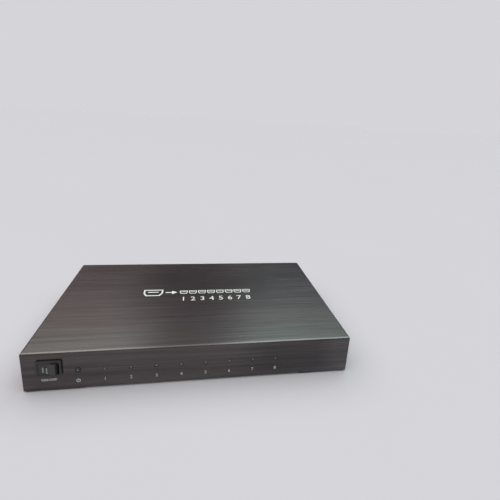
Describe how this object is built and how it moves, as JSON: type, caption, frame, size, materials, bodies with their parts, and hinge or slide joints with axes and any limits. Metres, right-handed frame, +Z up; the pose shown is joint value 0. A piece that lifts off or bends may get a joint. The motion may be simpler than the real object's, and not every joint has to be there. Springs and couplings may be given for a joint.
{
  "type": "video splitter",
  "caption": "Low brushed-metal box that copies one digital video input to a row of rear output sockets, with a rocker power switch and port indicators on the front.",
  "frame": {"origin": "centre of the object's box, on the plane the feet stand on", "axes": "+X to the right seen from the front, +Y from the front to the rear, +Z up"},
  "size_m": [0.3034, 0.1846, 0.0395],
  "materials": {
    "cover_brushed": "black anodised, brushed along the width",
    "tray_black": "fine satin black powder coat",
    "screw_black": "black oxide",
    "foot_rubber": "matt",
    "board_green": "solder mask",
    "pillar_brass": "turned",
    "screw_nickel": "nickel plated",
    "socket_nickel": "nickel plated, stamped",
    "socket_black": "moulded",
    "contact_gold": "gold plated",
    "switch_black": "moulded, fine texture",
    "rocker_black": "moulded, semi gloss",
    "plunger_white": "moulded",
    "spring_steel": "drawn wire",
    "lever_copper": "stamped",
    "lead_red": "insulation",
    "lead_black": "insulation",
    "plug_white": "moulded",
    "lens_clear": "water clear lens, unlit",
    "lens_green": "tinted lens, unlit",
    "bezel_black": "moulded",
    "chip_black": "moulded package",
    "pad_grey": "soft pad",
    "sink_aluminium": "extruded",
    "crystal_can": "drawn can",
    "ferrite_grey": "pressed",
    "capacitor_blue": "sleeved can"
  },
  "bodies": {
    "chassis": {"top_cover": "cover_brushed", "base_tray": "tray_black", "cover_screws": "screw_black", "rubber_feet": "foot_rubber", "main_board": "board_green", "board_standoffs": "pillar_brass", "board_screws": "screw_nickel", "video_in_shell": "socket_nickel", "video_in_insulator": "socket_black", "video_in_contacts": "contact_gold", "video_out_shell_1": "socket_nickel", "video_out_shell_2": "socket_nickel", "video_out_shell_3": "socket_nickel", "video_out_shell_4": "socket_nickel", "video_out_shell_5": "socket_nickel", "video_out_shell_6": "socket_nickel", "video_out_shell_7": "socket_nickel", "video_out_shell_8": "socket_nickel", "video_out_insulator_1": "socket_black", "video_out_insulator_2": "socket_black", "video_out_insulator_3": "socket_black", "video_out_insulator_4": "socket_black", "video_out_insulator_5": "socket_black", "video_out_insulator_6": "socket_black", "video_out_insulator_7": "socket_black", "video_out_insulator_8": "socket_black", "video_out_contacts": "contact_gold", "dc_jack_body": "socket_black", "dc_jack_pin": "screw_nickel", "dc_jack_spring": "lever_copper", "switch_housing": "switch_black", "switch_terminals": "lever_copper", "switch_lead_red": "lead_red", "switch_lead_black": "lead_black", "lead_plug": "plug_white", "lead_header": "plug_white", "power_led": "lens_green", "power_led_bezel": "bezel_black", "status_leds": "lens_clear", "led_spacers": "switch_black", "led_leads": "screw_nickel", "splitter_chips": "chip_black", "thermal_pads": "pad_grey", "heatsinks": "sink_aluminium", "control_chip": "chip_black", "crystal": "crystal_can", "regulator": "chip_black", "power_inductor": "ferrite_grey", "bulk_capacitors": "capacitor_blue"},
    "rocker": {"switch_rocker": "rocker_black", "switch_plunger": "plunger_white", "switch_spring": "spring_steel"},
    "lever": {"switch_lever": "lever_copper"}
  },
  "joints": [
    {"name": "rocker_tilt", "type": "hinge", "parent": "chassis", "child": "rocker", "pos_m": [-0.1273, -0.08555, 0.0242], "axis": [0, 0, 1], "range_deg": [0, 20]},
    {"name": "lever_tilt", "type": "hinge", "parent": "chassis", "child": "lever", "pos_m": [-0.1273, -0.07515, 0.0242], "axis": [0, 0, 1], "range_deg": [-18, 0]}
  ],
  "couplings": [
    {"joint": "lever_tilt", "follows": "rocker_tilt", "ratio": -0.9}
  ]
}
